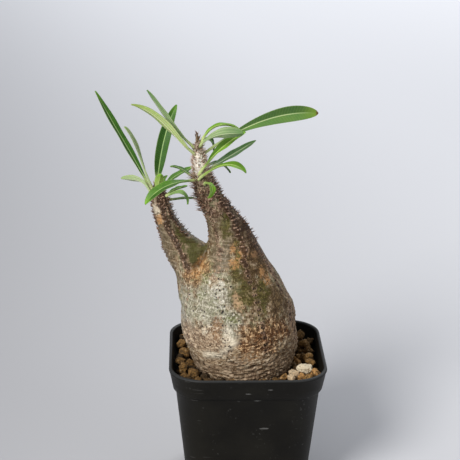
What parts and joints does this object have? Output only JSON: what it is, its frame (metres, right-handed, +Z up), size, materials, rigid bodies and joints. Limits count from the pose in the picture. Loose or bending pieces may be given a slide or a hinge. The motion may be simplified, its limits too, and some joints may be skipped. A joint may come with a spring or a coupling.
{
  "type": "potted pachypodium gracilius",
  "caption": "Small caudex succulent with a swollen, spiny two-stemmed base and narrow leaves, planted in gravelly soil in a square plastic nursery pot.",
  "frame": {"origin": "centre of the pot's flat underside", "axes": "+Z up, -Y towards the front of the plant, +X to the right as seen from the front"},
  "size_m": [0.1326, 0.09, 0.2382],
  "materials": {
    "pot": "satin black moulded plastic with light scuffs",
    "soil": "dry, porous golden-brown gravel",
    "caudex": "satin grey-green bark with brown corky patches",
    "leaf": "satin waxy green"
  },
  "bodies": {
    "root": {"pot": "pot", "soil": "soil", "caudex": "caudex", "leaf_left_1": "leaf", "leaf_left_2": "leaf", "leaf_left_3": "leaf", "leaf_left_4": "leaf", "leaf_left_5": "leaf", "leaf_left_6": "leaf", "leaf_left_7": "leaf", "leaf_left_8": "leaf", "leaf_left_9": "leaf", "leaf_left_10": "leaf", "leaf_right_1": "leaf", "leaf_right_2": "leaf", "leaf_right_3": "leaf", "leaf_right_4": "leaf", "leaf_right_5": "leaf", "leaf_right_6": "leaf", "leaf_right_7": "leaf", "leaf_right_8": "leaf", "leaf_right_9": "leaf", "leaf_right_10": "leaf", "leaf_right_11": "leaf", "leaf_right_12": "leaf", "leaf_right_13": "leaf"}
  },
  "joints": []
}
